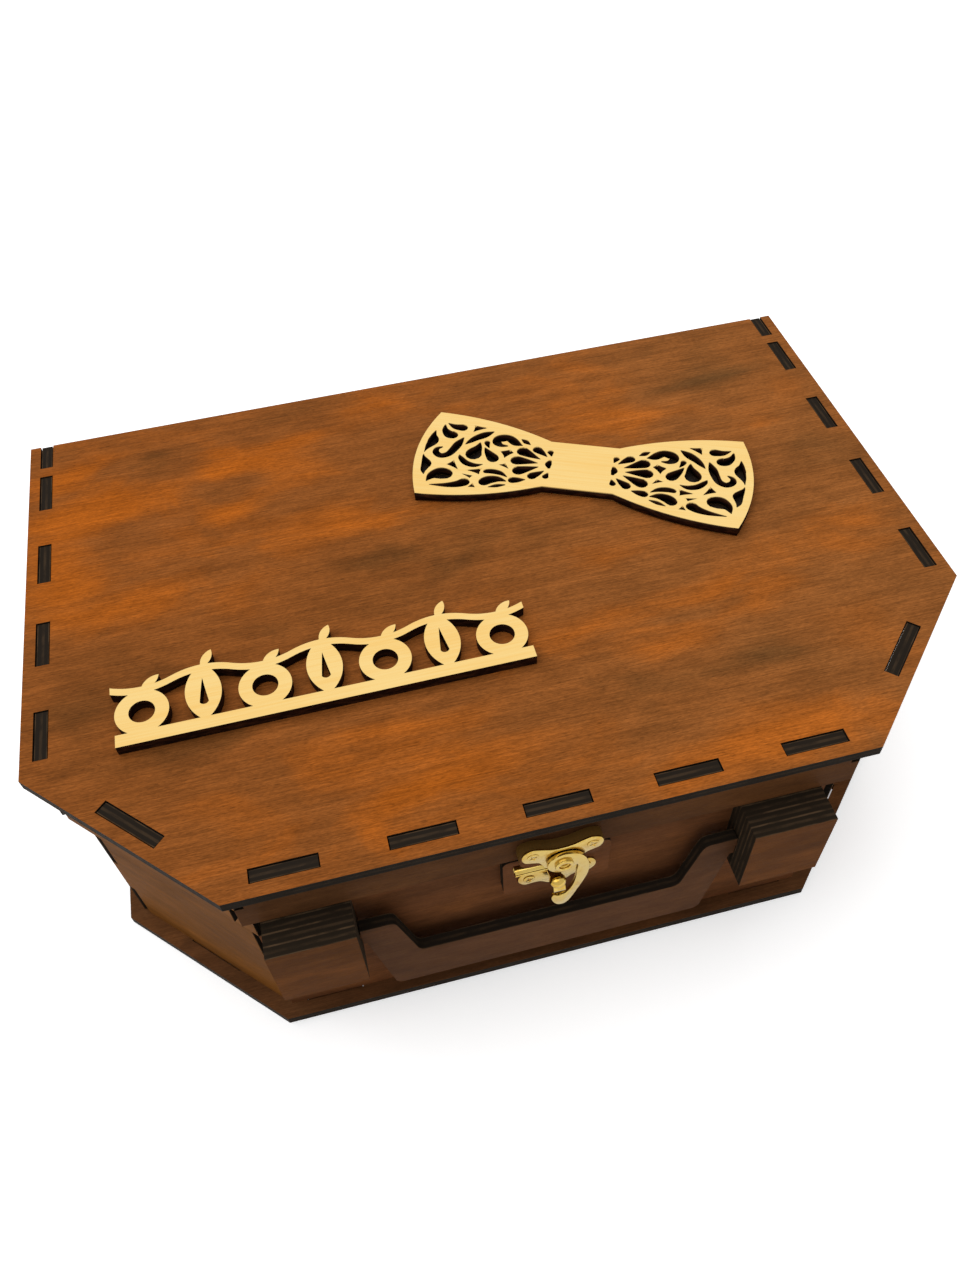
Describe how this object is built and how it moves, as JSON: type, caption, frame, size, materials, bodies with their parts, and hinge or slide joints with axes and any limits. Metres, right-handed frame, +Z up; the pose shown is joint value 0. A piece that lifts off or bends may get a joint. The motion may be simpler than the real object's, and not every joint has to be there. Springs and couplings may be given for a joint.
{
  "type": "plywood gift case",
  "caption": "Six-sided stained plywood case with a hinged cap lid, a flat drop handle between stacked brackets, a brass swing-hook clasp and pale fretwork ornaments.",
  "frame": {"origin": "centre of the base plate's underside, midway between the lid's front and back edges and between its sides", "axes": "+X to the right along the longest side, +Y to the hinged back, +Z up"},
  "size_m": [0.3, 0.2115, 0.1082],
  "materials": {
    "stained_lid_ply": "satin stain",
    "stained_case_ply": "satin stain",
    "pale_birch": "bare sanded",
    "polished_brass": "polished"
  },
  "bodies": {
    "case": {"base_plate": "stained_case_ply", "case_front_wall": "stained_case_ply", "case_left_corner_wall": "stained_case_ply", "case_right_corner_wall": "stained_case_ply", "case_left_side_wall": "stained_case_ply", "case_right_side_wall": "stained_case_ply", "case_back_wall": "stained_case_ply", "left_bracket_back": "stained_case_ply", "left_bracket_pocket": "stained_case_ply", "left_bracket_cover": "stained_case_ply", "left_bracket_front": "stained_case_ply", "right_bracket_back": "stained_case_ply", "right_bracket_pocket": "stained_case_ply", "right_bracket_cover": "stained_case_ply", "right_bracket_front": "stained_case_ply", "clasp_lower_pad": "stained_case_ply", "catch_plate": "polished_brass", "left_hinge_case_leaf": "polished_brass", "left_hinge_pin": "polished_brass", "right_hinge_case_leaf": "polished_brass", "right_hinge_pin": "polished_brass"},
    "lid": {"lid_plate": "stained_lid_ply", "lid_front_skirt": "stained_lid_ply", "lid_left_corner_skirt": "stained_lid_ply", "lid_right_corner_skirt": "stained_lid_ply", "lid_left_side_skirt": "stained_lid_ply", "lid_right_side_skirt": "stained_lid_ply", "clasp_upper_pad": "stained_case_ply", "clasp_plate": "polished_brass", "clasp_rivet": "polished_brass", "left_hinge_lid_leaf": "polished_brass", "right_hinge_lid_leaf": "polished_brass", "bow_tie": "pale_birch", "fretwork_strip": "pale_birch"},
    "hook": {"clasp_hook": "polished_brass"},
    "handle": {"handle": "stained_case_ply"}
  },
  "joints": [
    {"name": "lid_hinge", "type": "hinge", "parent": "case", "child": "lid", "pos_m": [0, 0.0959, 0.0988], "axis": [-1, 0, 0], "range_deg": [0, 100]},
    {"name": "hook_pivot", "type": "hinge", "parent": "lid", "child": "hook", "pos_m": [0, -0.1034, 0.0824], "axis": [0, -1, 0], "range_deg": [0, 80]},
    {"name": "handle_swing", "type": "hinge", "parent": "case", "child": "handle", "pos_m": [0, -0.0995, 0.0597], "axis": [-1, 0, 0], "range_deg": [0, 90]}
  ]
}
